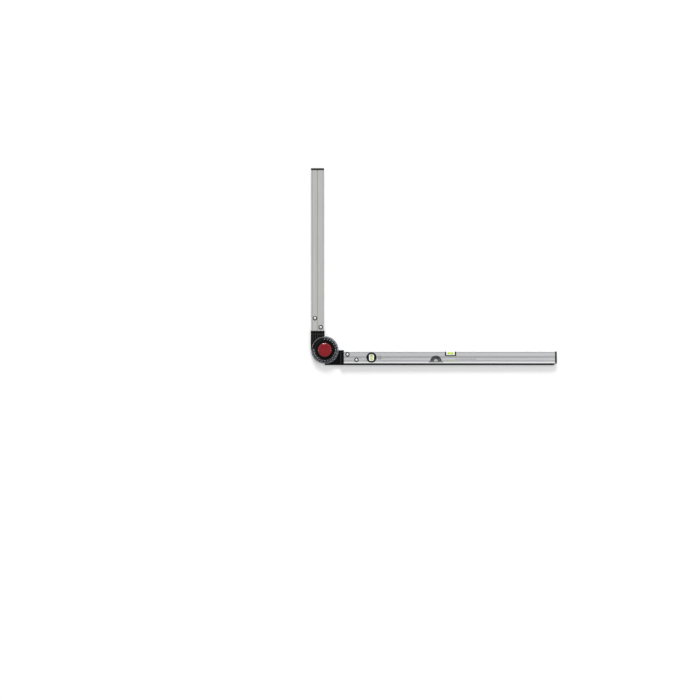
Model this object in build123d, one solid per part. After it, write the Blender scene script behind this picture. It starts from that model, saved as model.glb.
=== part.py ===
from build123d import *
import os
from math import cos, radians, sin

# Adjustable angle square: a long beam with two spirit vials, and a shorter arm that swings on it.
# Millimetres. The tool lies on its back: the origin is on the pivot axis in the back plane,
# +X runs along the beam, +Y along the arm at its right-angle position, and +Z out of the front.
# Arm features are laid out along +X as the beam's are, then turned a quarter turn about the pivot.

# ---- driving dimensions ----
THICK = 20.0               # thickness of the hinge brackets and of the end caps
MID = THICK / 2            # mid plane, where the two halves of the hinge meet
LAP_GAP = 0.4              # gap between the hinge halves, filled by the friction ring
FIT_GAP = 0.1              # clearance of a loose seat
RUN_GAP = 0.05             # radial running clearance

# aluminium tubes: the arm's edges are given before its quarter turn
TUBE_THICK = 18.0
WALL = 1.7
WEB = 1.6                  # web down the middle of each tube
TUBE_START = 73.0          # pivot to the near end of both tubes
BEAM_END = 879.0           # pivot to the far end of the beam's tube
ARM_END = 687.0            # pivot to the far end of the arm's tube
BEAM_LOW, BEAM_HIGH = -51.5, -6.0
ARM_LOW, ARM_HIGH = 3.0, 52.5
CAP_THICK = 6.4
CAP_LIP = 0.4              # how far a cap stands proud of its tube
PLUG_LENGTH, PLUG_WALL = 14.0, 2.0

# black measuring strip, held by a T-slot in the beam's lower edge
SOLE_DEPTH = 6.6
SLOT_MOUTH, SLOT_INNER, SLOT_DEPTH = 7.0, 11.0, 2.4
SLOT_WALL = 1.6

# hinge brackets
BEAM_BRACKET = (BEAM_LOW - SOLE_DEPTH, -1.0)
ARM_BRACKET = (1.0, 53.4)
HUB_R = 50.0
LAP_END = 59.5             # pivot to the full-thickness end of each bracket
LAP_WALL = 1.6             # end walls of the cells
RIB_COLUMNS, RIB = 6, 1.3
BEAM_LAP_FLOOR, ARM_LAP_FLOOR, CELL_FLOOR = 5.0, 16.5, 4.0
TINE_END = 133.0           # tongues of the brackets inside the tubes
TINE_GAP, TINE_WALL = 0.2, 2.5
BOSS_HALF = 6.5            # half the length of the solid stretch round a rivet
CORE_R, CORE_INNER_R, CORE_TOP = 44.0, 17.0, 6.5       # lightened back of the hub
SPOKES, SPOKE = 8, 2.4
STOP_R, STOP_PIN_R, STOP_DEPTH = 31.0, 2.5, 3.0
STOP_SLACK = 6.5           # degrees of groove past the stop pin's centre at each limit

# rivets: along the tube, and share of its width from the edge nearer the pivot line
RIVETS = ((86.6, 0.25), (121.0, 0.70))
RIVET_R, RIVET_HEAD_R, RIVET_HOLE_R = 2.4, 4.9, 4.8
COLLAR, COLLAR_R = 0.5, 8.5

# pivot and clamp
BOLT_R, BOLT_TOP = 4.0, 32.5           # M8
FLAT_HALF = 3.4                        # half the distance across the bolt's flats
HEAD_R, HEAD_TOP = 7.5, 6.9            # bolt head across corners / 2, and its height above the back
BUSH_R = 6.5
FRICTION_R, FRICTION_HOLE_R = 26.0, 12.6
COVER_R, COVER_THICK = 12.0, 1.6
WASHER_R, WASHER_TOP = 13.6, THICK + 1.5
SPRING_SEAT = THICK - 3.0
SPRING_R, SPRING_WIRE_R = 8.6, 0.45
INSERT_R, WAIST_R = 7.0, 6.2
WAIST_LOW, WAIST_HIGH, WAIST_SLOPE = 25.5, 29.5, 0.5
INSERT_TOP = BOLT_TOP + 1.0
KNOB_R, KNOB_BOTTOM, KNOB_TOP = 26.3, THICK + 2.8, 38.0
KNOB_ROOF = KNOB_TOP - 3.5             # ceiling of the hollow in the knob
NOTCHES, NOTCH_R = 12, 1.25
CROWN = (13.2, 15.6, 0.7)              # inner radius, outer radius and height of the ring on the knob

# dial and clear scale ring
RING_R, RING_SEAT, RING_TOP = 53.0, 42.5, THICK + 2.4
RING_FLAT_R, RING_DROP = 46.0, 1.0     # past this radius the ring's top slopes down by this much
RING_SLACK = 0.4                       # degrees left free at each end of the ring
DIAL_R, DIAL_HOLE_R = 45.5, 14.4
DIAL_TOP, DIAL_FLOOR = THICK + 4.0, THICK + 1.6
DIAL_RIM_R, DIAL_RIM = 50.0, 0.9       # dial edge over the arm's bracket, and its raised rim
SCREW_CIRCLE_R, SCREW_ANGLES = 38.5, (15, 135, 255)
SCREW_R, SCREW_HEAD_R = 1.4, 2.8

# vials and hanging hole, along the beam
PLUMB_X, HANG_X, LEVEL_X = 178.3, 210.4, 480.0
HANG_R, GROMMET_R, GROMMET_FLANGE_R = 4.4, 5.4, 7.1
PLUMB_R = 19.5
LEVEL_WIDTH, LEVEL_DEPTH = 42.8, 17.3  # notch for the level vial
LEVEL_CORNER = 2.0
LEVEL_OPEN, LEVEL_BASE = 16.5, 3.4     # half the holder's opening, and the bar below it
LEVEL_WINDOW = 12.0                    # half the length of the vial that the insert leaves open
LEVEL_Y = BEAM_HIGH - 6.8              # level vial's centre line
LEVEL_VIAL_R, LEVEL_VIAL_LENGTH = 5.2, 28.0
PLUMB_VIAL_R, PLUMB_VIAL_LENGTH = 4.8, 29.0
VIAL_WALL = 1.0
FILM_GAP = 0.05                        # between the tube's bore and the skin of its filling
READING_RINGS = (-7.5, -4.2, 4.2, 7.5)

# ---- derived places ----
TUBE_BACK = MID - TUBE_THICK / 2
TUBE_FRONT = MID + TUBE_THICK / 2
CAVITY = TUBE_THICK - 2 * WALL
BEAM_MID = (BEAM_LOW + BEAM_HIGH) / 2
ARM_MID = (ARM_LOW + ARM_HIGH) / 2
BEAM_TUBE = (BEAM_LOW, BEAM_HIGH, 2 * SLOT_WALL + SLOT_DEPTH)      # edges, and wall at the lower edge
ARM_TUBE = (ARM_LOW, ARM_HIGH, WALL)
LOWER_LAP = (0.0, MID - LAP_GAP / 2)
UPPER_LAP = (MID + LAP_GAP / 2, THICK)
THROUGH = (-1, THICK + 1)              # heights of a cut right through the tool


# ---- small helpers ----
def block(x, y, z):
    """Box between two limits on each axis."""
    size = [high - low for low, high in (x, y, z)]
    centre = [(high + low) / 2 for low, high in (x, y, z)]
    return Pos(*centre) * Box(*size)


def drum(radius, z, at=(0, 0)):
    """Upright cylinder between two heights."""
    return Pos(at[0], at[1], (z[0] + z[1]) / 2) * Cylinder(radius, z[1] - z[0])


def tube(outer, inner, z, at=(0, 0)):
    return drum(outer, z, at) - drum(inner, (z[0] - 1, z[1] + 1), at)


def turned(points):
    """Solid of revolution about Z from a closed outline of (radius, height) points."""
    return revolve(make_face(Plane.XZ * Polyline(*points, close=True)), Axis.Z)


def sector(radius, z, start, sweep):
    """Pie slice about Z from an angle, through a sweep, in degrees."""
    slice_face = make_face(
        Line((0, 0), (radius * cos(radians(start)), radius * sin(radians(start))))
        + CenterArc((0, 0), radius, start, sweep)
        + Line((radius * cos(radians(start + sweep)), radius * sin(radians(start + sweep))), (0, 0))
    )
    return Pos(0, 0, z[0]) * extrude(slice_face, z[1] - z[0])


def quarter_turn(shape):
    return Rot(0, 0, 90) * shape


def both_faces(shape):
    """A shape and its mirror image about the tool's mid plane."""
    return [shape, mirror(shape, Plane.XY.offset(MID))]


# ---- the two aluminium tubes ----
def rivet_spots(tube_edges):
    """Rivet centres; the inner edge is the one nearer the pivot line."""
    low, high, _ = tube_edges
    inner, outer = (low, high) if low > 0 else (high, low)
    return [(x, inner + share * (outer - inner)) for x, share in RIVETS]


def cavities(tube_edges):
    """Widths of the two hollows, either side of the web."""
    low, high, low_wall = tube_edges
    middle = (low + high) / 2
    return ((low + low_wall, middle - WEB / 2), (middle + WEB / 2, high - WALL))


def face_grooves(start, end, lines):
    """Shallow grooves with sloping sides along both faces: lines are (centre, width, depth)."""
    cuts = []
    top = TUBE_FRONT + 0.01
    for centre, width, depth in lines:
        left, right = centre - width / 2, centre + width / 2
        outline = Polyline((left, top), (left + depth, TUBE_FRONT - depth),
                           (right - depth, TUBE_FRONT - depth), (right, top), close=True)
        groove = Pos(start, 0, 0) * extrude(make_face(Plane.YZ * outline), end - start)
        cuts += both_faces(groove)
    return cuts


def tube_profile(end, tube_edges, lines):
    """Hollow rectangular extrusion from TUBE_START to an end, with softened edges and grooved faces."""
    low, high, _ = tube_edges
    edge_round, hollow_round = 0.9, 0.6
    section = Pos((low + high) / 2, MID) * RectangleRounded(high - low, TUBE_THICK, edge_round)
    for left, right in cavities(tube_edges):
        section -= Pos((left + right) / 2, MID) * RectangleRounded(right - left, CAVITY, hollow_round)
    shape = Pos(TUBE_START, 0, 0) * extrude(Plane.YZ * section, end - TUBE_START)
    for spot in rivet_spots(tube_edges):
        shape -= drum(RIVET_HOLE_R, THROUGH, spot)
    return shape - face_grooves(TUBE_START, end, lines)


def main_beam():
    lines = ((BEAM_HIGH - 3.8, 2.8, 0.5), (BEAM_MID, 8.4, 0.5), (BEAM_MID, 2.8, 0.9),
             (BEAM_MID - 13.5, 3.4, 0.5))
    shape = tube_profile(BEAM_END, BEAM_TUBE, lines)
    along = (TUBE_START - 1, BEAM_END + 1)
    neck = (BEAM_LOW - 1, BEAM_LOW + SLOT_WALL + FIT_GAP)
    shape -= block(along, neck, (MID - SLOT_MOUTH / 2, MID + SLOT_MOUTH / 2))
    pocket = (BEAM_LOW + SLOT_WALL, BEAM_LOW + SLOT_WALL + SLOT_DEPTH)
    shape -= block(along, pocket, (MID - SLOT_INNER / 2, MID + SLOT_INNER / 2))
    shape -= drum(PLUMB_R - 1.5, THROUGH, (PLUMB_X, BEAM_MID))
    shape -= drum(GROMMET_R + FIT_GAP, THROUGH, (HANG_X, BEAM_MID))
    return shape - level_notch(LEVEL_WIDTH, LEVEL_DEPTH, THROUGH)


def level_notch(width, depth, z):
    """Notch shape in the beam's upper edge, with rounded lower corners."""
    notch = block((LEVEL_X - width / 2, LEVEL_X + width / 2), (BEAM_HIGH - depth, BEAM_HIGH + 1), z)
    return fillet(notch.edges().filter_by(Axis.Z).sort_by(Axis.Y)[:2], LEVEL_CORNER)


def swing_arm():
    lines = ((ARM_LOW + 3.4, 1.8, 0.45), (ARM_MID, 4.4, 0.5), (ARM_MID, 2.0, 0.8),
             (ARM_HIGH - 5.4, 2.4, 0.45))
    return quarter_turn(tube_profile(ARM_END, ARM_TUBE, lines))


def sole_strip():
    """Black strip that slides into the beam's T-slot; its lower face is the measuring edge."""
    low = BEAM_LOW - SOLE_DEPTH
    corner_round, edge_bevel = 3.5, 1.0
    along = (TUBE_START, BEAM_END - 2)
    strip = block(along, (low, BEAM_LOW), (TUBE_BACK, TUBE_FRONT))
    far_corner = strip.edges().filter_by(Axis.Z).sort_by(Axis.X)[-2:].sort_by(Axis.Y)[0]
    strip = fillet(far_corner, corner_round)
    strip = chamfer(strip.faces().sort_by(Axis.Y)[0].edges().filter_by(Axis.X), edge_bevel)
    mouth, inner = SLOT_MOUTH / 2 - FIT_GAP, SLOT_INNER / 2 - FIT_GAP
    neck_top = BEAM_LOW + SLOT_WALL + FIT_GAP
    strip += block(along, (BEAM_LOW - 0.5, neck_top), (MID - mouth, MID + mouth))
    top = BEAM_LOW + SLOT_WALL + SLOT_DEPTH - FIT_GAP
    return strip + block(along, (neck_top, top), (MID - inner, MID + inner))


def end_cap(end, tube_edges):
    """Moulded cap with a softened outer face and a hollow plug for each half of the tube."""
    low, high, _ = tube_edges
    side_round, face_round, plug_round = 2.0, 1.4, 0.8
    cap = block((end, end + CAP_THICK), (low - CAP_LIP, high + CAP_LIP), (0, THICK))
    cap = fillet(cap.edges().filter_by(Axis.X), side_round)
    cap = fillet(cap.faces().sort_by(Axis.X)[-1].edges(), face_round)
    half = CAVITY / 2 - FIT_GAP
    for left, right in cavities(tube_edges):
        y = (left + FIT_GAP, right - FIT_GAP)
        plug = block((end - PLUG_LENGTH, end + 0.5), y, (MID - half, MID + half))
        plug = fillet(plug.edges().filter_by(Axis.X), plug_round)
        hollow = block((end - PLUG_LENGTH - 1, end - 1), (y[0] + PLUG_WALL, y[1] - PLUG_WALL),
                       (MID - half + PLUG_WALL, MID + half - PLUG_WALL))
        cap += plug - hollow
    return cap


# ---- the hinge brackets ----
def tines(tube_edges):
    """Tongues that go into the two hollows of a tube, cored out except round the rivets."""
    half = CAVITY / 2 - TINE_GAP
    z = (MID - half, MID + half)
    recess = COLLAR + WALL - TINE_GAP - 0.3      # room for the collar's end
    shapes = []
    for left, right in cavities(tube_edges):
        y = (left + TINE_GAP, right - TINE_GAP)
        tine = block((TUBE_START - 0.5, TINE_END), y, z)
        tine -= block((TUBE_START + TINE_WALL, TINE_END - TINE_WALL), (y[0] + TINE_WALL, y[1] - TINE_WALL),
                      THROUGH)
        for x, rivet_y in rivet_spots(tube_edges):
            if y[0] < rivet_y < y[1]:
                tine += block((x - BOSS_HALF, x + BOSS_HALF), y, z)
                tine -= drum(RIVET_R + FIT_GAP, THROUGH, (x, rivet_y))
                tine -= [drum(RIVET_HOLE_R + FIT_GAP, (level - recess, level + recess), (x, rivet_y))
                         for level in z]
        shapes.append(tine)
    return shapes


def ribbed_bracket(span, lap, floor, tube_edges):
    """One half of the hinge: hub disc and ribbed lap of half thickness, then a full-thickness end."""
    low, high = span
    shape = block((0, LAP_END + 1), span, lap) + drum(HUB_R, lap)
    shape += block((LAP_END, TUBE_START), span, (0, THICK))
    pitch = (high - low) / RIB_COLUMNS
    cells = []
    solid_parts = drum(HUB_R - 1.0, lap) + block((0, LAP_WALL), span, lap)
    for column in range(RIB_COLUMNS):
        y = (low + column * pitch + RIB / 2, low + (column + 1) * pitch - RIB / 2)
        cells.append(block((0, LAP_END), y, (floor, lap[1] + 1)) - solid_parts)
        cells.append(block((LAP_END + LAP_WALL, TUBE_START - LAP_WALL), y, (CELL_FLOOR, THICK + 1)))
    shape -= cells
    shape = shape.solids().sort_by(SortBy.VOLUME)[-1]
    return shape + tines(tube_edges)


def beam_bracket():
    """Lower half of the hinge: holds the bolt's head in a hexagon, and carries the stop pin."""
    shape = ribbed_bracket(BEAM_BRACKET, LOWER_LAP, BEAM_LAP_FLOOR, BEAM_TUBE)
    core = tube(CORE_R, CORE_INNER_R, (-1, CORE_TOP))
    spoke = block((0, CORE_R + 2), (-SPOKE / 2, SPOKE / 2), (-1, CORE_TOP + 0.1))
    shape -= core - [Rot(0, 0, 360 / SPOKES * turn) * spoke for turn in range(SPOKES)]
    shape -= drum(COVER_R, (-1, COVER_THICK))
    shape -= Pos(0, 0, COVER_THICK) * extrude(RegularPolygon(HEAD_R + FIT_GAP, 6), HEAD_TOP - COVER_THICK)
    shape -= drum(BOLT_R + RUN_GAP, THROUGH)
    pin_top = LOWER_LAP[1] + STOP_DEPTH - 0.5
    return shape + drum(STOP_PIN_R, (LOWER_LAP[1] - 1, pin_top), (STOP_R, 0))


def arm_bracket():
    """Upper half of the hinge: turns on the bush, with a stop groove that ends the swing."""
    shape = ribbed_bracket(ARM_BRACKET, UPPER_LAP, ARM_LAP_FLOOR, ARM_TUBE)
    shape = quarter_turn(shape)
    groove_z = (UPPER_LAP[0] - 1, UPPER_LAP[0] + STOP_DEPTH)
    half_width = STOP_PIN_R + 0.5
    groove = tube(STOP_R + half_width, STOP_R - half_width, groove_z)
    shape -= groove & sector(HUB_R, groove_z, -180 - STOP_SLACK, 270 + 2 * STOP_SLACK)
    shape -= drum(BUSH_R, THROUGH)
    shape -= drum(SPRING_R + 2.0, (SPRING_SEAT, THICK + 1))
    for spot in dial_screw_spots():
        shape -= drum(SCREW_R + 0.2, THROUGH, spot)
        shape -= drum(SCREW_HEAD_R + 0.3, (0, UPPER_LAP[0] + 3.2), spot)
    return shape


# ---- rivets ----
def rivets(tube_edges):
    """Through rivets: domed head in front, flat head at the back."""
    front, back = TUBE_FRONT + COLLAR, TUBE_BACK - COLLAR
    dome, back_head = 1.3, 0.4
    head = turned(((0, back - back_head), (RIVET_HEAD_R, back - back_head), (RIVET_HEAD_R, back),
                   (RIVET_R, back), (RIVET_R, front), (RIVET_HEAD_R, front),
                   (RIVET_HEAD_R - 0.3, front + 0.5), (RIVET_HEAD_R - 1.5, front + 1.0),
                   (RIVET_HEAD_R - 3.3, front + dome - 0.05), (0, front + dome)))
    return [Pos(x, y, 0) * head for x, y in rivet_spots(tube_edges)]


def rivet_collars(tube_edges):
    """Black flanged collars under the rivet heads, one in each tube wall."""
    bore, sleeve = RIVET_R + FIT_GAP, RIVET_HOLE_R - FIT_GAP
    top = TUBE_FRONT + COLLAR
    flange = turned(((bore, TUBE_FRONT - WALL), (sleeve, TUBE_FRONT - WALL), (sleeve, TUBE_FRONT),
                     (COLLAR_R, TUBE_FRONT), (COLLAR_R - 0.2, top), (bore, top)))
    shapes = []
    for x, y in rivet_spots(tube_edges):
        shapes += both_faces(Pos(x, y, 0) * flange)
    return shapes


# ---- pivot and clamp ----
def pivot_bolt():
    """Hexagon-head M8 bolt; two flats on its upper length keep the thrust washer from turning."""
    head = Pos(0, 0, COVER_THICK) * extrude(RegularPolygon(HEAD_R, 6), HEAD_TOP - COVER_THICK)
    shank = drum(BOLT_R, (HEAD_TOP - 0.1, BOLT_TOP))
    shank = chamfer(shank.faces().sort_by(Axis.Z)[-1].edges(), 0.8)
    side = block((-BOLT_R, BOLT_R), (FLAT_HALF, BOLT_R + 1), (THICK - 0.6, BOLT_TOP + 1))
    return head + shank - side - mirror(side, Plane.XZ)


def pivot_cover():
    """Snap-in disc over the bolt's head, flush with the back face."""
    disc = drum(COVER_R - FIT_GAP, (0, COVER_THICK))
    return fillet(disc.faces().sort_by(Axis.Z)[0].edges(), 0.3)


def pivot_bush():
    return tube(BUSH_R, BOLT_R + RUN_GAP, UPPER_LAP)


def friction_ring():
    return tube(FRICTION_R, FRICTION_HOLE_R, (LOWER_LAP[1], UPPER_LAP[0]))


def thrust_washer():
    """Washer whose hole fits the bolt's flats, so that the knob's rubbing can't turn the arm."""
    hole_r, half = BOLT_R + 0.2, FLAT_HALF + 0.15
    z = (THICK - 1, WASHER_TOP + 1)
    hole = drum(hole_r, z) & block((-hole_r, hole_r), (-half, half), z)
    return drum(WASHER_R, (THICK, WASHER_TOP)) - hole


def lift_spring():
    """Short coil spring round the bush; it lifts the washer and knob when the clamp is slackened."""
    height = THICK - SPRING_SEAT - 2 * SPRING_WIRE_R - FIT_GAP
    path = Pos(0, 0, SPRING_SEAT + SPRING_WIRE_R + FIT_GAP / 2) * Helix(height / 2, height, SPRING_R)
    return sweep(Plane(path @ 0, z_dir=path % 0) * Circle(SPRING_WIRE_R), path)


def waist(rise):
    """Outline of the insert's outer face from a height above the washer up to its top."""
    return ((INSERT_R, WASHER_TOP + rise), (INSERT_R, WAIST_LOW), (WAIST_R, WAIST_LOW + WAIST_SLOPE),
            (WAIST_R, WAIST_HIGH - WAIST_SLOPE), (INSERT_R, WAIST_HIGH), (INSERT_R, INSERT_TOP))


def knob_insert():
    """Threaded brass insert, with a waist that the knob is moulded round."""
    bore = BOLT_R + RUN_GAP
    return turned(((bore, WASHER_TOP), *waist(0), (bore, INSERT_TOP)))


def clamp_knob():
    """Red knob: hollow below, twelve grip notches round a bevelled rim, and a plain raised ring."""
    boss_r, skirt_r, draft, rise = 9.5, 23.3, 0.5, 0.3
    bevel_run, bevel_drop, bevel_round = 2.7, 1.6, 0.9
    shape = turned(((0, INSERT_TOP), *reversed(waist(rise)), (boss_r, WASHER_TOP + rise),
                    (boss_r, KNOB_ROOF), (skirt_r - draft, KNOB_ROOF), (skirt_r, KNOB_BOTTOM),
                    (KNOB_R, KNOB_BOTTOM), (KNOB_R - draft, KNOB_TOP - bevel_drop),
                    (KNOB_R - draft - bevel_run, KNOB_TOP), (0, KNOB_TOP)))
    shape = fillet(shape.edges().filter_by(GeomType.CIRCLE).sort_by(Axis.Z)[-2:], bevel_round)
    notch_start = 0.74 * KNOB_R
    notch = Pos(notch_start + 4, 0, KNOB_TOP) * Rot(0, 90, 0) * Cylinder(NOTCH_R, 8)
    notch += Pos(notch_start, 0, KNOB_TOP) * Sphere(NOTCH_R)
    notch += Pos(KNOB_R + 0.4, 0, KNOB_TOP - 4.0) * Rot(0, -12, 0) * Cylinder(NOTCH_R + 0.25, 9)
    shape -= [Rot(0, 0, 360 / NOTCHES * turn) * notch for turn in range(NOTCHES)]
    inner, outer, height = CROWN
    crown = turned(((inner, KNOB_TOP - 1), (outer, KNOB_TOP - 1), (outer - 0.6, KNOB_TOP + height),
                    (inner + 0.6, KNOB_TOP + height)))
    return shape + crown


# ---- dial ----
def dial_screw_spots():
    return [(SCREW_CIRCLE_R * cos(radians(angle)), SCREW_CIRCLE_R * sin(radians(angle)))
            for angle in SCREW_ANGLES]


def angle_dial():
    """Black dished dial; over the arm's bracket it is wider and has a raised rim."""
    bowl = turned(((DIAL_HOLE_R, THICK), (DIAL_R, THICK), (DIAL_R, DIAL_TOP), (37.0, DIAL_TOP),
                   (34.0, DIAL_TOP - 0.45), (31.0, DIAL_FLOOR + 0.7), (28.5, DIAL_FLOOR),
                   (DIAL_HOLE_R, DIAL_FLOOR)))
    shape = bowl - tube(DIAL_R + 1, RING_SEAT, (THICK - 1, RING_TOP))
    rim_top, step = DIAL_TOP + DIAL_RIM, DIAL_TOP - 0.4
    wide = turned(((RING_SEAT - 1, THICK), (DIAL_RIM_R, THICK), (DIAL_RIM_R, rim_top),
                   (DIAL_RIM_R - 1.3, rim_top), (DIAL_RIM_R - 1.9, step), (DIAL_R + 0.6, step),
                   (DIAL_R, DIAL_TOP), (RING_SEAT - 1, DIAL_TOP)))
    shape += wide & sector(RING_R, (THICK - 1, rim_top + 1), 90 + RING_SLACK, 90 - 2 * RING_SLACK)
    for spot in dial_screw_spots():
        shape -= drum(SCREW_R, (THICK - 1, THICK + 3.2), spot)
    return shape


def scale_ring():
    """Clear ring with a sloping scale face, clamped under the dial's rim, open over the arm's bracket."""
    seat, bevel, edge_top = RING_SEAT + FIT_GAP, 0.4, RING_TOP - RING_DROP
    ring = turned(((seat, THICK), (RING_R - bevel, THICK), (RING_R, THICK + bevel),
                   (RING_R, edge_top - bevel), (RING_R - bevel, edge_top),
                   (RING_FLAT_R, RING_TOP), (seat, RING_TOP)))
    return ring & sector(RING_R + 5, (THICK - 1, RING_TOP + 1), -180 + RING_SLACK, 270 - 2 * RING_SLACK)


def dial_screws():
    """Small tapping screws from behind the dial, with cross recesses."""
    base = UPPER_LAP[0] + 0.5
    head, slot_half, slot_width = 1.4, 1.7, 0.8
    screw = turned(((0, base), (SCREW_HEAD_R, base), (SCREW_HEAD_R, base + head),
                    (SCREW_R, base + head + 1.2), (SCREW_R, THICK + 2.6), (0, THICK + 3.1)))
    slot = block((-slot_half, slot_half), (-slot_width / 2, slot_width / 2), (base - 1, base + 1))
    screw -= slot + quarter_turn(slot)
    return [Pos(x, y, 0) * screw for x, y in dial_screw_spots()]


# ---- vials ----
def vial(length, radius):
    """Clear tube with domed ends lying along X, its filling, and the reading rings round it."""
    def bead(inset):
        body = Rot(0, 90, 0) * Cylinder(radius - inset, length - 4 * inset)
        return fillet(body.edges(), radius * 0.4)

    shell = bead(0) - bead(VIAL_WALL)
    filling = bead(VIAL_WALL + FILM_GAP)
    ring = Rot(0, 90, 0) * (Cylinder(radius + 0.2, 0.5) - Cylinder(radius + 0.01, 1))
    rings = [Pos(x, 0, 0) * ring for x in READING_RINGS]
    return shell, filling, rings


def place(shape, where):
    return [where * piece for piece in shape] if isinstance(shape, list) else where * shape


def level_vial_holder():
    """Black U-shaped frame in the notch of the beam's upper edge."""
    stand_out = 0.4
    frame = level_notch(LEVEL_WIDTH - 2 * FIT_GAP, LEVEL_DEPTH - FIT_GAP,
                        (TUBE_BACK - stand_out, TUBE_FRONT + stand_out))
    frame -= block((LEVEL_X - LEVEL_WIDTH, LEVEL_X + LEVEL_WIDTH), (BEAM_HIGH, BEAM_HIGH + 2), THROUGH)
    low = BEAM_HIGH - LEVEL_DEPTH + FIT_GAP + LEVEL_BASE
    return frame - block((LEVEL_X - LEVEL_OPEN, LEVEL_X + LEVEL_OPEN), (low, BEAM_HIGH + 1), THROUGH)


def level_vial_cradle():
    """White insert that shows the vial in front, behind and from above."""
    half, inset, window_half = LEVEL_OPEN - FIT_GAP, 0.6, 4.4
    low = BEAM_HIGH - LEVEL_DEPTH + LEVEL_BASE + 2 * FIT_GAP
    body = block((LEVEL_X - half, LEVEL_X + half), (low, BEAM_HIGH - 0.3),
                 (TUBE_BACK + inset, TUBE_FRONT - inset))
    bed = Cylinder(LEVEL_VIAL_R + 0.3, LEVEL_VIAL_LENGTH + 0.4)
    body -= Pos(LEVEL_X, LEVEL_Y, MID) * Rot(0, 90, 0) * bed
    window = (LEVEL_X - LEVEL_WINDOW, LEVEL_X + LEVEL_WINDOW)
    body -= block(window, (LEVEL_Y - window_half, LEVEL_Y + window_half), THROUGH)
    return body - block(window, (LEVEL_Y, BEAM_HIGH + 1), (MID - window_half, MID + window_half))


def plumb_ring():
    """Black bezel of the plumb vial: flange on the front face, sleeve down to the mid plane."""
    sleeve, bore, plate = PLUMB_R - 1.7, PLUMB_R - 2.9, THICK - 1.2
    bezel = turned(((bore, MID + FIT_GAP), (sleeve, MID + FIT_GAP), (sleeve, TUBE_FRONT),
                    (PLUMB_R, TUBE_FRONT), (PLUMB_R, THICK - 0.4), (PLUMB_R - 0.8, THICK),
                    (0, THICK), (0, plate), (bore, plate)))
    length, width, corner = 26.4, 19.4, 7.0
    opening = Pos(0, 0, MID) * Rot(0, 0, 90) * extrude(RectangleRounded(length, width, corner), THICK)
    return Pos(PLUMB_X, BEAM_MID, 0) * (bezel - opening)


def plumb_vial_cradle():
    """White drum inside the two bezels, with a slot window over the vial on both faces."""
    body = drum(PLUMB_R - 3.1, (1.4, THICK - 1.4))
    bed = Cylinder(PLUMB_VIAL_R + 0.3, PLUMB_VIAL_LENGTH + 0.6)
    body -= Pos(0, 0, MID) * Rot(90, 0, 0) * bed
    length, width, corner = 24.0, 8.6, 3.5
    slot = Rot(0, 0, 90) * extrude(RectangleRounded(length, width, corner), THICK)
    return Pos(PLUMB_X, BEAM_MID, 0) * (body - slot)


def hanging_grommet():
    """Grey grommet that lines the hanging hole, with a thin flange on both faces."""
    half = turned(((HANG_R, MID), (GROMMET_R, MID), (GROMMET_R, TUBE_FRONT), (GROMMET_FLANGE_R, TUBE_FRONT),
                   (GROMMET_FLANGE_R - 0.2, TUBE_FRONT + 0.5), (HANG_R + 0.4, TUBE_FRONT + 0.7),
                   (HANG_R, TUBE_FRONT + 0.4)))
    front, back = both_faces(Pos(HANG_X, BEAM_MID, 0) * half)
    return front + back


# ---- the whole tool ----
def beam_pieces():
    level = Pos(LEVEL_X, LEVEL_Y, MID)
    plumb = Pos(PLUMB_X, BEAM_MID, MID) * Rot(0, 0, 90)
    level_tube, level_fluid, level_lines = (place(s, level) for s in vial(LEVEL_VIAL_LENGTH, LEVEL_VIAL_R))
    plumb_tube, plumb_fluid, plumb_lines = (place(s, plumb) for s in vial(PLUMB_VIAL_LENGTH, PLUMB_VIAL_R))
    front_ring, back_ring = both_faces(plumb_ring())
    return {
        "main_beam": main_beam(),
        "sole_strip": sole_strip(),
        "beam_end_cap": end_cap(BEAM_END, BEAM_TUBE),
        "beam_bracket": beam_bracket(),
        "beam_rivets": rivets(BEAM_TUBE),
        "beam_rivet_collars": rivet_collars(BEAM_TUBE),
        "level_vial_holder": level_vial_holder(),
        "level_vial_cradle": level_vial_cradle(),
        "level_vial_tube": level_tube,
        "level_vial_fluid": level_fluid,
        "level_vial_lines": level_lines,
        "plumb_vial_front_ring": front_ring,
        "plumb_vial_back_ring": back_ring,
        "plumb_vial_cradle": plumb_vial_cradle(),
        "plumb_vial_tube": plumb_tube,
        "plumb_vial_fluid": plumb_fluid,
        "plumb_vial_lines": plumb_lines,
        "hanging_grommet": hanging_grommet(),
        "pivot_bolt": pivot_bolt(),
        "pivot_cover": pivot_cover(),
    }


def arm_pieces():
    return {
        "swing_arm": swing_arm(),
        "arm_end_cap": quarter_turn(end_cap(ARM_END, ARM_TUBE)),
        "arm_bracket": arm_bracket(),
        "arm_rivets": place(rivets(ARM_TUBE), Rot(0, 0, 90)),
        "arm_rivet_collars": place(rivet_collars(ARM_TUBE), Rot(0, 0, 90)),
        "pivot_bush": pivot_bush(),
        "friction_ring": friction_ring(),
        "angle_dial": angle_dial(),
        "scale_ring": scale_ring(),
        "dial_screws": dial_screws(),
    }


def clamp_pieces():
    return {
        "thrust_washer": thrust_washer(),
        "lift_spring": lift_spring(),
        "knob_insert": knob_insert(),
        "clamp_knob": clamp_knob(),
    }


os.makedirs("parts", exist_ok=True)
for node, shape in (beam_pieces() | arm_pieces() | clamp_pieces()).items():
    solid = Compound(children=shape) if isinstance(shape, list) else shape
    export_step(solid, f"parts/{node}.step")
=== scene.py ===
import math

import bmesh
import bpy
from mathutils import Matrix, Vector


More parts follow.
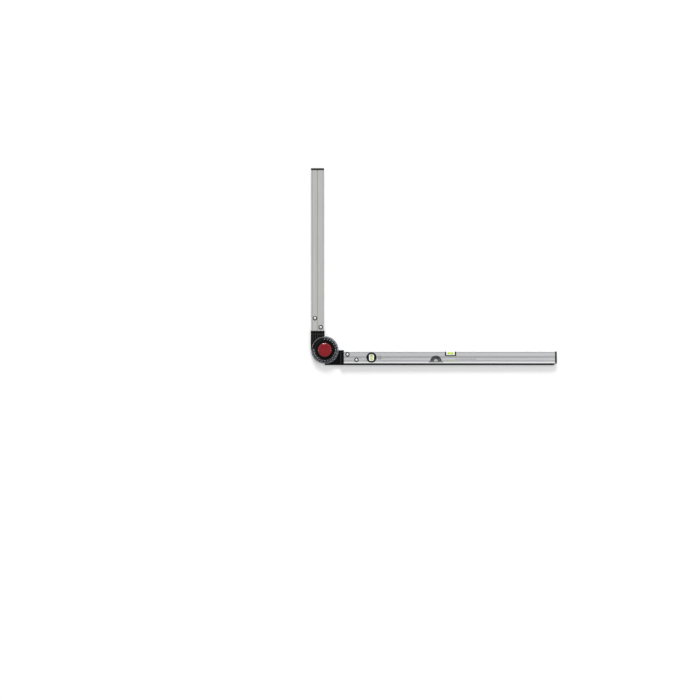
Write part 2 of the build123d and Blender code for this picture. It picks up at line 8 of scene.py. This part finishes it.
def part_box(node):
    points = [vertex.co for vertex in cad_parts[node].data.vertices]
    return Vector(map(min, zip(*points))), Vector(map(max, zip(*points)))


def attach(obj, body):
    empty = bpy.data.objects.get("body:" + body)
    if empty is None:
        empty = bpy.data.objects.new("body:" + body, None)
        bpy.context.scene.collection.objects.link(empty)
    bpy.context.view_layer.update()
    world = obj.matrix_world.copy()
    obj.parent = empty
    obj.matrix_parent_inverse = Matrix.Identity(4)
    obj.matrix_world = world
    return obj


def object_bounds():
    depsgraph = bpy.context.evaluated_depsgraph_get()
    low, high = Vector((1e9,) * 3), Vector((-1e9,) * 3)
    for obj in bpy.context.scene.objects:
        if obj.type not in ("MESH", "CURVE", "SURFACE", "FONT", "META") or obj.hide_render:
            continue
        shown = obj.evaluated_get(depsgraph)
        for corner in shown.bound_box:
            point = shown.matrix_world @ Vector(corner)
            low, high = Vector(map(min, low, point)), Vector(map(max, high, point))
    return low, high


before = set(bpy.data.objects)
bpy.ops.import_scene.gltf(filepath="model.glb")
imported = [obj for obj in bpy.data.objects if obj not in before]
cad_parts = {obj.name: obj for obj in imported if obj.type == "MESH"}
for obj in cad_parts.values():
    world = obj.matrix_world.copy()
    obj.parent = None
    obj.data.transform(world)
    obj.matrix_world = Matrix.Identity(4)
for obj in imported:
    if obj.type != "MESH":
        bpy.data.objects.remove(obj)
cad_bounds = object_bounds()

MM = 0.001

# ---- places taken from the frame ----
BEAM_LOW, BEAM_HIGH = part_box("main_beam")
DIAL_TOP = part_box("angle_dial")[1].z - 0.9 * MM       # number band, below the raised rim
RING_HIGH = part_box("scale_ring")[1]
RING_R = RING_HIGH.x
FACE_FRONT, FACE_BACK = BEAM_HIGH.z, BEAM_LOW.z
MID_Z = (FACE_FRONT + FACE_BACK) / 2
LEVEL_LOW, LEVEL_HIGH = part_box("level_vial_fluid")
PLUMB_LOW, PLUMB_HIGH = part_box("plumb_vial_fluid")
LEVEL_X = (LEVEL_LOW.x + LEVEL_HIGH.x) / 2
PRINT_LOW, PRINT_HIGH = -0.02 * MM, 0.04 * MM        # ink, from just in the face to just above it
NUMBER_CIRCLE_R = 41.0 * MM


# ---- shader helpers ----
class Shader:
    """A Principled material with a few shortcuts for its node tree."""

    def __init__(self, name, color, rough, metal=0.0, **sockets):
        self.material = bpy.data.materials.new(name)
        self.material.use_nodes = True
        self.tree = self.material.node_tree
        self.bsdf = self.tree.nodes["Principled BSDF"]
        self.bsdf.inputs["Base Color"].default_value = (*color, 1)
        self.bsdf.inputs["Roughness"].default_value = rough
        self.bsdf.inputs["Metallic"].default_value = metal
        for socket, value in sockets.items():
            self.bsdf.inputs[socket.replace("_", " ")].default_value = value
        self.coords = self.add("ShaderNodeTexCoord").outputs["Object"]
        self.normal = None

    def add(self, kind, **settings):
        node = self.tree.nodes.new(kind)
        for name, value in settings.items():
            setattr(node, name, value)
        return node

    def link(self, out, into):
        self.tree.links.new(out, into)

    def stretched(self, scale):
        mapping = self.add("ShaderNodeMapping")
        mapping.inputs["Scale"].default_value = scale
        self.link(self.coords, mapping.inputs["Vector"])
        return mapping.outputs["Vector"]

    def noise(self, scale, stretch=(1, 1, 1), detail=3.0, rough=0.6):
        node = self.add("ShaderNodeTexNoise")
        node.inputs["Scale"].default_value = scale
        node.inputs["Detail"].default_value = detail
        node.inputs["Roughness"].default_value = rough
        self.link(self.stretched(stretch), node.inputs["Vector"])
        return node.outputs["Fac"]

    def ramp(self, value, stops):
        node = self.add("ShaderNodeValToRGB")
        ramp = node.color_ramp
        while len(ramp.elements) < len(stops):
            ramp.elements.new(0.5)
        for element, (position, color) in zip(ramp.elements, stops):
            element.position = position
            element.color = (*color, 1) if isinstance(color, tuple) else (color, color, color, 1)
        self.link(value, node.inputs["Fac"])
        return node.outputs["Color"]

    def math(self, operation, a, b=None, clamp=False):
        node = self.add("ShaderNodeMath", operation=operation, use_clamp=clamp)
        for socket, value in zip(node.inputs, (a, b)):
            if isinstance(value, (int, float)):
                socket.default_value = value
            elif value is not None:
                self.link(value, socket)
        return node.outputs["Value"]

    def mix(self, factor, a, b, blend="MIX"):
        node = self.add("ShaderNodeMix", data_type="RGBA", blend_type=blend)
        for socket, value in ((node.inputs[0], factor), (node.inputs[6], a), (node.inputs[7], b)):
            if isinstance(value, (int, float)):
                socket.default_value = value
            elif isinstance(value, tuple):
                socket.default_value = (*value, 1)
            else:
                self.link(value, socket)
        return node.outputs[2]

    def axis(self, name):
        split = self.add("ShaderNodeSeparateXYZ")
        self.link(self.coords, split.inputs["Vector"])
        return split.outputs[name]

    def bump(self, height, strength, distance):
        node = self.add("ShaderNodeBump")
        node.inputs["Strength"].default_value = strength
        node.inputs["Distance"].default_value = distance
        self.link(height, node.inputs["Height"])
        if self.normal is not None:
            self.link(self.normal, node.inputs["Normal"])
        self.normal = node.outputs["Normal"]
        self.link(self.normal, self.bsdf.inputs["Normal"])

    def color(self, out):
        self.link(out, self.bsdf.inputs["Base Color"])

    def rough(self, value, low, high):
        spread = self.add("ShaderNodeMapRange")
        spread.inputs["To Min"].default_value = low
        spread.inputs["To Max"].default_value = high
        self.link(value, spread.inputs["Value"])
        self.link(spread.outputs["Result"], self.bsdf.inputs["Roughness"])


# ---- materials ----
def extruded_aluminium(name, tone, along, lit_bevel_band=None):
    """Satin anodised extrusion: drawing lines along it, handling marks, painted shade in the grooves, and
    an optional painted highlight on a lengthwise band.
    """
    shader = Shader(name, tone, 0.55, metal=0.28)
    stretch = (0.004, 1, 1) if along == "X" else (1, 0.004, 1)
    lines = shader.noise(1500, stretch, detail=2)
    broad = shader.noise(240, stretch, detail=2)
    marks = shader.noise(9, detail=5, rough=0.7)
    light, dark, dull, groove_shade_tone = (tuple(min(1, c * k) for c in tone) for k in (1.10, 0.90, 0.74, 0.5))
    color = shader.mix(shader.ramp(lines, [(0.3, 0.0), (0.7, 1.0)]), dark, light)
    color = shader.mix(shader.ramp(broad, [(0.35, 0.2), (0.65, 0.0)]), color, dull)
    color = shader.mix(shader.ramp(marks, [(0.45, 0.0), (0.8, 0.12)]), color, dull)
    # Painted shade: faces sunk up to 1.1 mm below the front or back face, in the grooves, are darkened,
    # most from 0.5 mm down.
    depth = shader.math("SUBTRACT", FACE_FRONT - MID_Z, shader.math(
        "ABSOLUTE", shader.math("SUBTRACT", shader.axis("Z"), MID_Z)))
    groove = shader.math("MULTIPLY", depth, 1 / (0.5 * MM), clamp=True)
    is_face = shader.math("LESS_THAN", depth, 1.1 * MM)
    groove_shade = shader.math("MULTIPLY", shader.math("MULTIPLY", groove, is_face), 0.5)
    color = shader.mix(groove_shade, color, groove_shade_tone)
    # Painted highlight: a lengthwise band is lightened, as where the lower bevel catches the light.
    if lit_bevel_band:
        low, high = lit_bevel_band
        across = shader.axis("Y")
        on_lit_bevel = shader.math("MULTIPLY", shader.math("GREATER_THAN", across, low),
                             shader.math("LESS_THAN", across, high))
        bevel_highlight = tuple(min(1, c * 1.55) for c in tone)
        color = shader.mix(shader.math("MULTIPLY", on_lit_bevel, 0.8), color, bevel_highlight)
    shader.color(color)
    shader.rough(lines, 0.50, 0.64)
    shader.bump(lines, 0.25, 0.03 * MM)
    return shader.material


def moulded_plastic(name, tone=0.003, rough=0.5, grain=900, painted_highlight=None):
    """Moulded plastic with a fine spark-eroded grain; an optional painted highlight lightens what is near a
    given height.
    """
    shader = Shader(name, (tone, tone, tone * 1.08), rough, Specular_IOR_Level=0.16)
    grain_noise = shader.noise(grain, detail=2)
    patches = shader.noise(60, detail=4)
    color = shader.ramp(patches, [(0.35, (tone * 0.7,) * 3), (0.7, (tone * 1.5, tone * 1.5, tone * 1.6))])
    if painted_highlight:
        height, reach, light = painted_highlight
        # Painted highlight: faces near this height, such as rib tops and rims, are lightened as if they
        # caught the light.
        near = shader.math("SUBTRACT", 1.0, shader.math("MULTIPLY", shader.math(
            "ABSOLUTE", shader.math("SUBTRACT", shader.axis("Z"), height)), 1 / reach), clamp=True)
        highlight_mask = shader.math("MULTIPLY", near, shader.ramp(patches, [(0.3, 0.7), (0.6, 1.0)]))
        color = shader.mix(highlight_mask, color, (light, light, light))
    shader.color(color)
    shader.rough(patches, rough - 0.08, rough + 0.1)
    shader.bump(grain_noise, 0.22, 0.05 * MM)
    return shader.material


def white_plastic():
    # The emission is painted light: it makes the vial's white plastic glow a little.
    shader = Shader("vial_white", (0.9, 0.91, 0.88), 0.35,
                    Emission_Color=(1, 1, 0.96, 1), Emission_Strength=0.12)
    cloud = shader.noise(180, detail=3)
    shader.color(shader.ramp(cloud, [(0.3, (0.84, 0.86, 0.82)), (0.7, (0.93, 0.93, 0.91))]))
    shader.bump(shader.noise(1200, detail=2), 0.12, 0.03 * MM)
    return shader.material


def clear_plastic(name, tint, rough, alpha, painted_highlight=None):
    """Clear acrylic with faint flow streaks; an optional painted highlight lightens what lies past a given
    radius from the pivot.
    """
    shader = Shader(name, tint, rough, Alpha=alpha, IOR=1.49)
    streaks = shader.noise(140, (1, 1, 0.3), detail=4)
    color = shader.ramp(streaks, [(0.3, tuple(c * 0.85 for c in tint)), (0.7, tint)])
    if painted_highlight:
        # Painted highlight: the rim past this radius is lightened as if it caught the light.
        radius, light = painted_highlight
        spread = shader.math("ADD", shader.math("POWER", shader.axis("X"), 2.0),
                             shader.math("POWER", shader.axis("Y"), 2.0))
        color = shader.mix(shader.math("GREATER_THAN", spread, radius ** 2), color, light)
    shader.color(color)
    shader.rough(streaks, rough, rough + 0.08)
    shader.bump(streaks, 0.05, 0.05 * MM)
    return shader.material


def vial_liquid():
    """Fluorescent spirit; the emission is painted light, which makes it glow a little."""
    shader = Shader("vial_liquid", (0.56, 0.76, 0.03), 0.12, IOR=1.36, Emission_Strength=0.34)
    depth = shader.noise(90, detail=2)
    color = shader.ramp(depth, [(0.3, (0.50, 0.72, 0.02)), (0.7, (0.66, 0.86, 0.06))])
    shader.color(color)
    shader.link(color, shader.bsdf.inputs["Emission Color"])
    return shader.material


def air_bubble():
    """Pale middle and a painted darker green edge, the shade a bubble's rim shows in a vial; the emission
    is painted light.
    """
    shader = Shader("air_bubble", (0.68, 0.84, 0.16), 0.06, Emission_Strength=0.2)
    facing = shader.add("ShaderNodeLayerWeight")
    facing.inputs["Blend"].default_value = 0.45
    cloud = shader.noise(400, detail=2)
    pale = shader.ramp(cloud, [(0.3, (0.66, 0.82, 0.14)), (0.7, (0.76, 0.90, 0.22))])
    # Painted shade: the edge, where the surface turns away from view, is darkened.
    color = shader.mix(facing.outputs["Facing"], pale, (0.22, 0.34, 0.02))
    shader.color(color)
    shader.link(color, shader.bsdf.inputs["Emission Color"])
    return shader.material


def gloss_red():
    shader = Shader("knob_red", (0.265, 0.003, 0.010), 0.25, Coat_Weight=0.5, Coat_Roughness=0.07)
    cloud = shader.noise(45, detail=4)
    shader.color(shader.ramp(cloud, [(0.3, (0.24, 0.002, 0.008)), (0.7, (0.30, 0.004, 0.012))]))
    shader.rough(shader.noise(160, detail=5), 0.2, 0.34)
    shader.bump(shader.noise(520, detail=2), 0.06, 0.04 * MM)
    return shader.material


def turned_metal(name, tone, rough, metal=1.0):
    """Metal with the fine rings and blotches of a turned or plated surface."""
    shader = Shader(name, tone, rough, metal=metal)
    blotches = shader.noise(260, detail=5, rough=0.7)
    shader.color(shader.ramp(blotches, [(0.3, tuple(c * 0.8 for c in tone)), (0.7, tone)]))
    shader.rough(blotches, rough * 0.7, rough * 1.4)
    shader.bump(shader.noise(1800, (1, 1, 0.05), detail=2), 0.12, 0.02 * MM)
    return shader.material


def print_ink(name, tone):
    shader = Shader(name, tone, 0.55)
    speck = shader.noise(2600, detail=2)
    shader.color(shader.ramp(speck, [(0.25, tuple(min(1, c * 1.15 + 0.01) for c in tone)), (0.6, tone)]))
    shader.bump(speck, 0.08, 0.01 * MM)
    return shader.material


def floor_paper():
    """White paper on a light table, so that shadows stay pale."""
    shader = Shader("floor_paper", (0.85, 0.85, 0.85), 0.95, Specular_IOR_Level=0.0,
                    Emission_Color=(1, 1, 1, 1), Emission_Strength=0.31)
    fibre = shader.noise(3, detail=5)
    shader.color(shader.ramp(fibre, [(0.3, (0.845, 0.845, 0.845)), (0.7, (0.855, 0.855, 0.855))]))
    return shader.material


BLACK = moulded_plastic("moulded_black")
# The brackets' rib tops and the dial's rim carry a painted highlight.
BRACKET = moulded_plastic("bracket_nylon", 0.003, 0.5, 700, painted_highlight=(20 * MM, 1.2 * MM, 0.06))
BEAM_BRACKET = moulded_plastic("beam_bracket_nylon", 0.004, 0.5, 700, painted_highlight=(20 * MM, 0.8 * MM, 0.05))
DIAL = moulded_plastic("dial_plastic", 0.005, 0.42, 1100, painted_highlight=(24.9 * MM, 0.5 * MM, 0.36))
VIAL_FRAME = moulded_plastic("vial_frame", 0.003, 0.35, 1300)
RUBBER = moulded_plastic("grey_rubber", 0.28, 0.6, 500)
# Painted shade: the near-black collars give each rivet head a dark ring, the shade round a domed head.
SHADE_COLLAR = moulded_plastic("collar_plastic", 0.012, 0.5, 900)
STEEL = turned_metal("zinc_steel", (0.66, 0.67, 0.69), 0.32)
SPRING = turned_metal("spring_steel", (0.42, 0.42, 0.44), 0.3)
BRASS = turned_metal("turned_brass", (0.76, 0.58, 0.26), 0.26)
RIVET = turned_metal("rivet_aluminium", (0.95, 0.95, 0.95), 0.3, metal=0.35)
WHITE = white_plastic()
CLEAR = clear_plastic("vial_clear", (0.80, 0.90, 0.70), 0.05, 0.07)
# The ring's outer rim carries a painted highlight.
RING = clear_plastic("ring_clear", (0.09, 0.11, 0.17), 0.16, 0.42,
                     painted_highlight=(RING_R - 0.5 * MM, (0.70, 0.75, 0.80)))
LIQUID = vial_liquid()
BUBBLE = air_bubble()
RED = gloss_red()
WHITE_INK = print_ink("white_ink", (0.50, 0.51, 0.51))
BLACK_INK = print_ink("black_ink", (0.010, 0.010, 0.012))
GREY_INK = print_ink("grey_ink", (0.16, 0.16, 0.17))
GREEN_INK = print_ink("green_ink", (0.50, 0.62, 0.08))
ACETAL = moulded_plastic("friction_acetal", 0.55, 0.45, 800)

NODE_MATERIALS = {
    # The beam's band near its lower edge carries a painted highlight.
    "main_beam": extruded_aluminium("beam_aluminium", (0.575, 0.58, 0.59), "X",
                                    lit_bevel_band=(BEAM_LOW.y + 0.8 * MM, BEAM_LOW.y + 5.6 * MM)),
    "swing_arm": extruded_aluminium("arm_aluminium", (0.565, 0.565, 0.55), "Y"),
    "sole_strip": BLACK, "beam_end_cap": BLACK, "arm_end_cap": BLACK, "pivot_cover": BLACK,
    "beam_bracket": BEAM_BRACKET, "arm_bracket": BRACKET,
    "beam_rivets": RIVET, "arm_rivets": RIVET,
    "beam_rivet_collars": SHADE_COLLAR, "arm_rivet_collars": SHADE_COLLAR,
    "level_vial_holder": VIAL_FRAME,
    "plumb_vial_front_ring": VIAL_FRAME, "plumb_vial_back_ring": VIAL_FRAME,
    "level_vial_cradle": WHITE, "plumb_vial_cradle": WHITE,
    "level_vial_tube": CLEAR, "plumb_vial_tube": CLEAR,
    "level_vial_fluid": LIQUID, "plumb_vial_fluid": LIQUID,
    "level_vial_lines": BLACK_INK, "plumb_vial_lines": BLACK_INK,
    "hanging_grommet": RUBBER, "pivot_bolt": STEEL, "pivot_bush": BRASS, "friction_ring": ACETAL,
    "angle_dial": DIAL, "scale_ring": RING, "dial_screws": STEEL,
    "thrust_washer": STEEL, "lift_spring": SPRING, "clamp_knob": RED, "knob_insert": BRASS,
}


def paint(obj, material):
    obj.data.materials.clear()
    obj.data.materials.append(material)


for node, material in NODE_MATERIALS.items():
    paint(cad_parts[node], material)


# ---- pieces ----
def mesh_piece(name, build, material, body):
    """A mesh object made by build(bm), painted and riding on a body."""
    bm = bmesh.new()
    build(bm)
    mesh = bpy.data.meshes.new(name)
    bm.to_mesh(mesh)
    bm.free()
    piece = bpy.data.objects.new(name, mesh)
    bpy.context.scene.collection.objects.link(piece)
    paint(piece, material)
    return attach(piece, body)


def sloping_slab(bm, corners, heights, low, high):
    """Prism over an outline of (x, y) corners, from low to high above each corner's own height."""
    bottom = [bm.verts.new((x, y, z + low)) for (x, y), z in zip(corners, heights)]
    top = [bm.verts.new((x, y, z + high)) for (x, y), z in zip(corners, heights)]
    bm.faces.new(list(reversed(bottom)))
    bm.faces.new(top)
    count = len(corners)
    for i in range(count):
        j = (i + 1) % count
        bm.faces.new((bottom[i], bottom[j], top[j], top[i]))


def printed(bm, corners):
    """Thin raised print on the beam's front face."""
    sloping_slab(bm, corners, [FACE_FRONT] * len(corners), PRINT_LOW, PRINT_HIGH)


def ring_top(radius):
    """Height of the clear ring's top, which slopes down past its flat seat."""
    flat_r, drop, edge_r = 46 * MM, 1.0 * MM, RING_R - 0.4 * MM
    return RING_HIGH.z - drop * (radius - flat_r) / (edge_r - flat_r)


def scale_ticks(bm):
    """Raised ticks round the clear ring: every degree, longer at 5 and 15, from 12 o'clock to 9 o'clock."""
    tick_height = 0.1 * MM
    inner = RING_R - 6.9 * MM
    for degree in range(0, 271):
        length, width = (6.0, 0.8) if degree % 15 == 0 else (3.6, 0.36) if degree % 5 == 0 else (2.2, 0.2)
        angle = math.radians(90 - min(max(degree, 0.8), 269.2))
        out = Vector((math.cos(angle), math.sin(angle)))
        side = Vector((-out.y, out.x)) * width * MM / 2
        near, far = inner, min(inner + length * MM, RING_R - 0.5 * MM)
        corners = [out * near - side, out * far - side, out * far + side, out * near + side]
        heights = [ring_top(near), ring_top(far), ring_top(far), ring_top(near)]
        sloping_slab(bm, corners, heights, PRINT_LOW, tick_height)


def dial_number(degree):
    """One raised number of the dial, its top outward."""
    curve = bpy.data.curves.new(f"number_{degree}", "FONT")
    curve.body = f"{degree}°"
    curve.size = 5.1 * MM
    curve.align_x, curve.align_y = "CENTER", "CENTER"
    curve.extrude = 0.06 * MM
    curve.offset = 0.04 * MM
    text = bpy.data.objects.new(curve.name, curve)
    bpy.context.scene.collection.objects.link(text)
    bpy.context.view_layer.update()
    mesh = bpy.data.meshes.new_from_object(text)
    bpy.data.objects.remove(text)
    radius, angle = NUMBER_CIRCLE_R, math.radians(90 - degree)
    place = Matrix.Translation((radius * math.cos(angle), radius * math.sin(angle), DIAL_TOP + 0.04 * MM))
    mesh.transform(place @ Matrix.Rotation(math.radians(-degree), 4, "Z"))
    return mesh


def dial_numbers():
    bm = bmesh.new()
    for degree in range(0, 271, 15):
        mesh = dial_number(degree)
        bm.from_mesh(mesh)
        bpy.data.meshes.remove(mesh)
    mesh = bpy.data.meshes.new("dial_numbers")
    bm.to_mesh(mesh)
    bm.free()
    piece = bpy.data.objects.new("dial_numbers", mesh)
    bpy.context.scene.collection.objects.link(piece)
    paint(piece, WHITE_INK)
    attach(piece, "arm")


def bubble(centre, radius, along, length=7.6 * MM, width=4.4 * MM):
    """Long flat bubble against the front wall of a vial of a given inner radius."""
    def build(bm):
        bmesh.ops.create_uvsphere(bm, u_segments=32, v_segments=16, radius=1)
        for vert in bm.verts:
            run, side, rise = vert.co.x * length / 2, vert.co.y * width / 2, vert.co.z * 0.35 * MM
            lift = math.sqrt(radius ** 2 - side ** 2) + rise
            offset = Vector((run, side, lift)) if along == "X" else Vector((-side, run, lift))
            vert.co = centre + offset
        for face in bm.faces:
            face.smooth = True
    return build


def protractor_mark(bm):
    """Plain printed sign: half a protractor on its base line, with a gap every 15 degrees."""
    foot = Vector((LEVEL_X - 56 * MM, BEAM_LOW.y + 8 * MM))
    outer, inner, gap = 22 * MM, 8 * MM, 1.8
    for start in range(0, 180, 15):
        angles = [start + gap / 2 + step * (15 - gap) / 6 for step in range(7)]
        rays = [Vector((math.cos(math.radians(a)), math.sin(math.radians(a)))) for a in angles]
        corners = [foot + ray * outer for ray in rays] + [foot + ray * inner for ray in reversed(rays)]
        printed(bm, corners)
    half, drop, thick = 28 * MM, 1.0 * MM, 2.8 * MM
    base = ((-half, -drop - thick), (half, -drop - thick), (half, -drop), (-half, -drop))
    printed(bm, [foot + Vector(corner) for corner in base])


def print_bar(bm, x, y, length, height):
    printed(bm, ((x, y), (x + length, y), (x + length, y + height), (x, y + height)))


def accent_line(bm):
    """Short yellow-green line under the level vial."""
    print_bar(bm, LEVEL_X - 8 * MM, BEAM_LOW.y + 9.2 * MM, 34 * MM, 1.3 * MM)


def dash_row(bm):
    """Fine grey dashes, every fifth one taller, to the right of the level vial."""
    for index in range(26):
        height = 6.4 if index % 5 == 0 else 3.6
        print_bar(bm, LEVEL_X + (20 + index * 3.0) * MM, BEAM_HIGH.y - 31.5 * MM, 1.1 * MM, height * MM)


mesh_piece("scale_ticks", scale_ticks, WHITE_INK, "arm")
dial_numbers()
level_centre, plumb_centre = (LEVEL_LOW + LEVEL_HIGH) / 2, (PLUMB_LOW + PLUMB_HIGH) / 2
mesh_piece("level_bubble", bubble(level_centre, LEVEL_HIGH.z - level_centre.z, "X"), BUBBLE,
           "beam")
mesh_piece("plumb_bubble", bubble(plumb_centre, PLUMB_HIGH.z - plumb_centre.z, "Y"), BUBBLE,
           "beam")
mesh_piece("protractor_mark", protractor_mark, BLACK_INK, "beam")
mesh_piece("accent_line", accent_line, GREEN_INK, "beam")
mesh_piece("dash_row", dash_row, GREY_INK, "beam")


# ---- studio ----
def studio_floor():
    bm = bmesh.new()
    bmesh.ops.create_grid(bm, x_segments=2, y_segments=2, size=12)
    mesh = bpy.data.meshes.new("floor")
    bm.to_mesh(mesh)
    bm.free()
    floor = bpy.data.objects.new("floor", mesh)
    floor.location.z = cad_bounds[0][2] - 0.1 * MM
    bpy.context.scene.collection.objects.link(floor)
    paint(floor, floor_paper())


def add_lamp(name, light, at, target):
    lamp = bpy.data.objects.new(name, light)
    lamp.location = at
    lamp.rotation_euler = (Vector(target) - Vector(at)).to_track_quat("-Z", "Y").to_euler()
    bpy.context.scene.collection.objects.link(lamp)


def window_light():
    """Broad even light from beyond the arm's end, so that shadows fall below the beam."""
    light = bpy.data.lights.new("window", "SUN")
    light.energy = 2.75
    light.angle = math.radians(26)
    add_lamp("window", light, (-0.45, 4.0, 2.15), (0, 0, 0))


def soft_light(name, at, target, size, power):
    light = bpy.data.lights.new(name, "AREA")
    light.shape = "RECTANGLE"
    light.size, light.size_y = size
    light.energy = power
    add_lamp(name, light, at, target)


def studio_world():
    """Pale surround: dimmer overhead, brighter towards the horizon."""
    world = bpy.data.worlds.new("studio")
    world.use_nodes = True
    tree = world.node_tree
    coords = tree.nodes.new("ShaderNodeTexCoord")
    split = tree.nodes.new("ShaderNodeSeparateXYZ")
    ramp = tree.nodes.new("ShaderNodeValToRGB")
    ramp.color_ramp.elements[0].position = 0.35
    ramp.color_ramp.elements[0].color = (0.50, 0.50, 0.50, 1)
    ramp.color_ramp.elements[1].position = 0.95
    ramp.color_ramp.elements[1].color = (0.24, 0.24, 0.24, 1)
    tree.links.new(coords.outputs["Generated"], split.inputs["Vector"])
    tree.links.new(split.outputs["Z"], ramp.inputs["Fac"])
    tree.links.new(ramp.outputs["Color"], tree.nodes["Background"].inputs["Color"])
    bpy.context.scene.world = world


def camera():
    """Straight above, with the hub near the middle of the frame and the beam across it."""
    data = bpy.data.cameras.new("camera")
    data.lens = 100
    data.clip_end = 60
    frame_width = 2.674
    look_at = Vector((0.0963, -0.0003, MID_Z))
    rig = bpy.data.objects.new("camera", data)
    distance = frame_width / 2 / (data.sensor_width / 2 / data.lens)
    rig.location = look_at + Vector((0, 0, distance))
    bpy.context.scene.collection.objects.link(rig)
    bpy.context.scene.camera = rig


studio_floor()
studio_world()
window_light()
soft_light("softbox", (1.5, 0.2, 3.0), (0.8, 0, 0), (1.4, 1.4), 15)
soft_light("ring_light", (0.9, 1.2, 3.4), (0, 0, 0), (0.9, 0.9), 9)
camera()
bpy.context.scene.view_settings.view_transform = "Standard"
